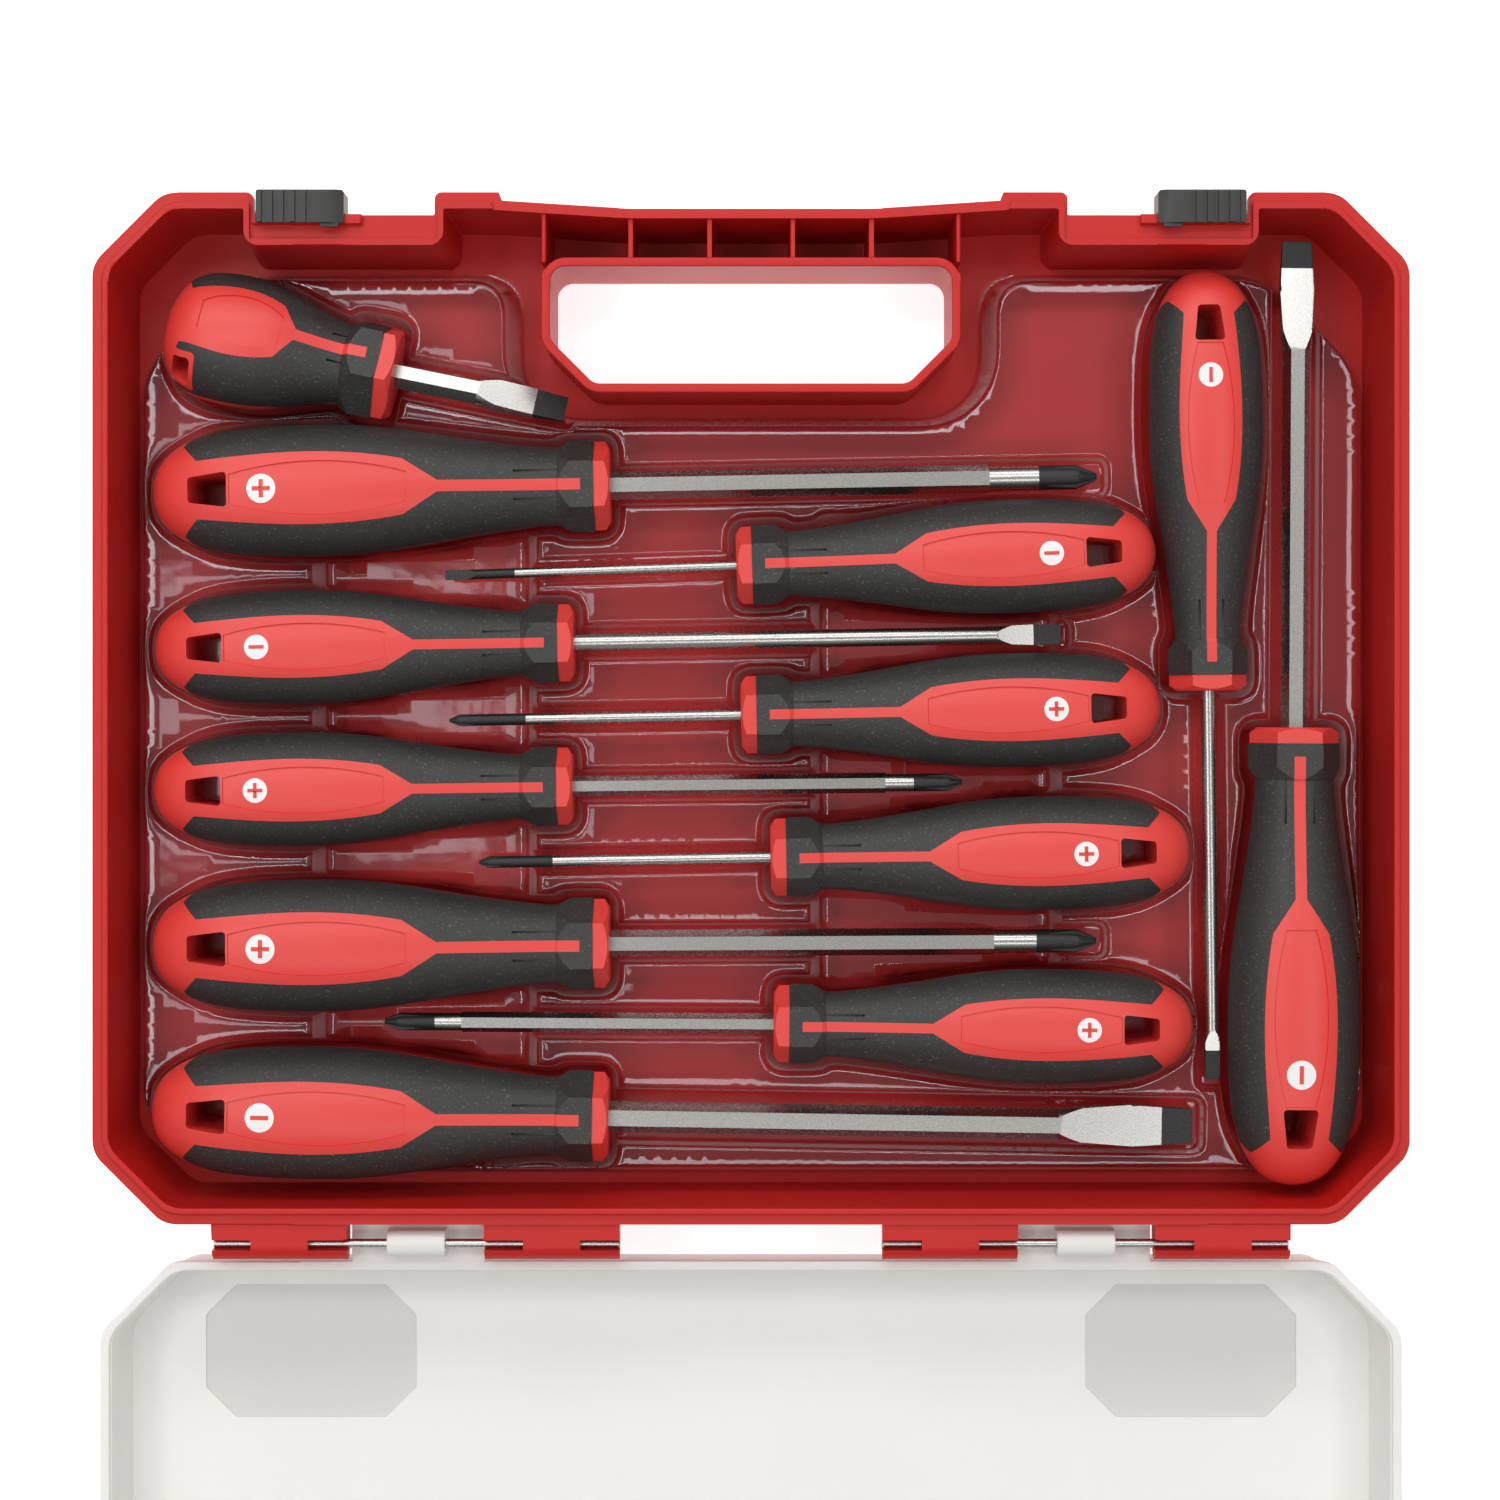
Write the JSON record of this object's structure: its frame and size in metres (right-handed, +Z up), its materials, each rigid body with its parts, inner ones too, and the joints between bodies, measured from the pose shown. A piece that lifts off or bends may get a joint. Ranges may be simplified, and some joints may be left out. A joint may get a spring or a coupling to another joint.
{
  "type": "screwdriver case",
  "caption": "Open moulded screwdriver case with a ribbed carry handle, a clear formed tray of slotted and cross drivers, a hinged frosted lid and sliding latches.",
  "frame": {"origin": "centre of the underside of the base, on the surface that the case lies on", "axes": "+X to the right, +Y from the hinge to the carry handle, +Z up out of the open base"},
  "size_m": [0.3332, 0.533, 0.0415],
  "materials": {
    "base_red": "fine moulded satin",
    "tray_clear": "clear sheet",
    "lid_frosted": "frosted",
    "latch_black": "moulded satin",
    "pin_steel": "drawn wire",
    "handle_red": "moulded satin",
    "grip_black": "fine grained soft grip",
    "blade_steel": "satin plated"
  },
  "bodies": {
    "base": {"base": "base_red", "tray": "tray_clear", "hinge_pin_left": "pin_steel", "hinge_pin_right": "pin_steel"},
    "lid": {"lid": "lid_frosted"},
    "latch_left": {"latch_left": "latch_black"},
    "latch_right": {"latch_right": "latch_black"},
    "stubby_slotted": {"stubby_slotted_core": "handle_red", "stubby_slotted_grip": "grip_black", "stubby_slotted_blade": "blade_steel"},
    "large_cross_back": {"large_cross_back_core": "handle_red", "large_cross_back_grip": "grip_black", "large_cross_back_blade": "blade_steel"},
    "small_slotted": {"small_slotted_core": "handle_red", "small_slotted_grip": "grip_black", "small_slotted_blade": "blade_steel"},
    "medium_slotted": {"medium_slotted_core": "handle_red", "medium_slotted_grip": "grip_black", "medium_slotted_blade": "blade_steel"},
    "small_cross_back": {"small_cross_back_core": "handle_red", "small_cross_back_grip": "grip_black", "small_cross_back_blade": "blade_steel"},
    "medium_cross_left": {"medium_cross_left_core": "handle_red", "medium_cross_left_grip": "grip_black", "medium_cross_left_blade": "blade_steel"},
    "small_cross_front": {"small_cross_front_core": "handle_red", "small_cross_front_grip": "grip_black", "small_cross_front_blade": "blade_steel"},
    "large_cross_front": {"large_cross_front_core": "handle_red", "large_cross_front_grip": "grip_black", "large_cross_front_blade": "blade_steel"},
    "medium_cross_right": {"medium_cross_right_core": "handle_red", "medium_cross_right_grip": "grip_black", "medium_cross_right_blade": "blade_steel"},
    "large_slotted_long": {"large_slotted_long_core": "handle_red", "large_slotted_long_grip": "grip_black", "large_slotted_long_blade": "blade_steel"},
    "medium_slotted_side": {"medium_slotted_side_core": "handle_red", "medium_slotted_side_grip": "grip_black", "medium_slotted_side_blade": "blade_steel"},
    "large_slotted_side": {"large_slotted_side_core": "handle_red", "large_slotted_side_grip": "grip_black", "large_slotted_side_blade": "blade_steel"}
  },
  "joints": [
    {"name": "lid_hinge", "type": "hinge", "parent": "base", "child": "lid", "pos_m": [0, -0.136, 0.031], "axis": [1, 0, 0], "range_deg": [-180, 0]},
    {"name": "latch_left_slide", "type": "slide", "parent": "base", "child": "latch_left", "axis": [-1, 0, 0], "range_m": [-0.021, 0]},
    {"name": "latch_right_slide", "type": "slide", "parent": "base", "child": "latch_right", "axis": [1, 0, 0], "range_m": [-0.021, 0]},
    {"name": "lift_stubby_slotted", "type": "slide", "parent": "base", "child": "stubby_slotted", "axis": [0, 0, 1], "range_m": [0, 0.05]},
    {"name": "lift_large_cross_back", "type": "slide", "parent": "base", "child": "large_cross_back", "axis": [0, 0, 1], "range_m": [0, 0.05]},
    {"name": "lift_small_slotted", "type": "slide", "parent": "base", "child": "small_slotted", "axis": [0, 0, 1], "range_m": [0, 0.05]},
    {"name": "lift_medium_slotted", "type": "slide", "parent": "base", "child": "medium_slotted", "axis": [0, 0, 1], "range_m": [0, 0.05]},
    {"name": "lift_small_cross_back", "type": "slide", "parent": "base", "child": "small_cross_back", "axis": [0, 0, 1], "range_m": [0, 0.05]},
    {"name": "lift_medium_cross_left", "type": "slide", "parent": "base", "child": "medium_cross_left", "axis": [0, 0, 1], "range_m": [0, 0.05]},
    {"name": "lift_small_cross_front", "type": "slide", "parent": "base", "child": "small_cross_front", "axis": [0, 0, 1], "range_m": [0, 0.05]},
    {"name": "lift_large_cross_front", "type": "slide", "parent": "base", "child": "large_cross_front", "axis": [0, 0, 1], "range_m": [0, 0.05]},
    {"name": "lift_medium_cross_right", "type": "slide", "parent": "base", "child": "medium_cross_right", "axis": [0, 0, 1], "range_m": [0, 0.05]},
    {"name": "lift_large_slotted_long", "type": "slide", "parent": "base", "child": "large_slotted_long", "axis": [0, 0, 1], "range_m": [0, 0.05]},
    {"name": "lift_medium_slotted_side", "type": "slide", "parent": "base", "child": "medium_slotted_side", "axis": [0, 0, 1], "range_m": [0, 0.05]},
    {"name": "lift_large_slotted_side", "type": "slide", "parent": "base", "child": "large_slotted_side", "axis": [0, 0, 1], "range_m": [0, 0.05]}
  ]
}
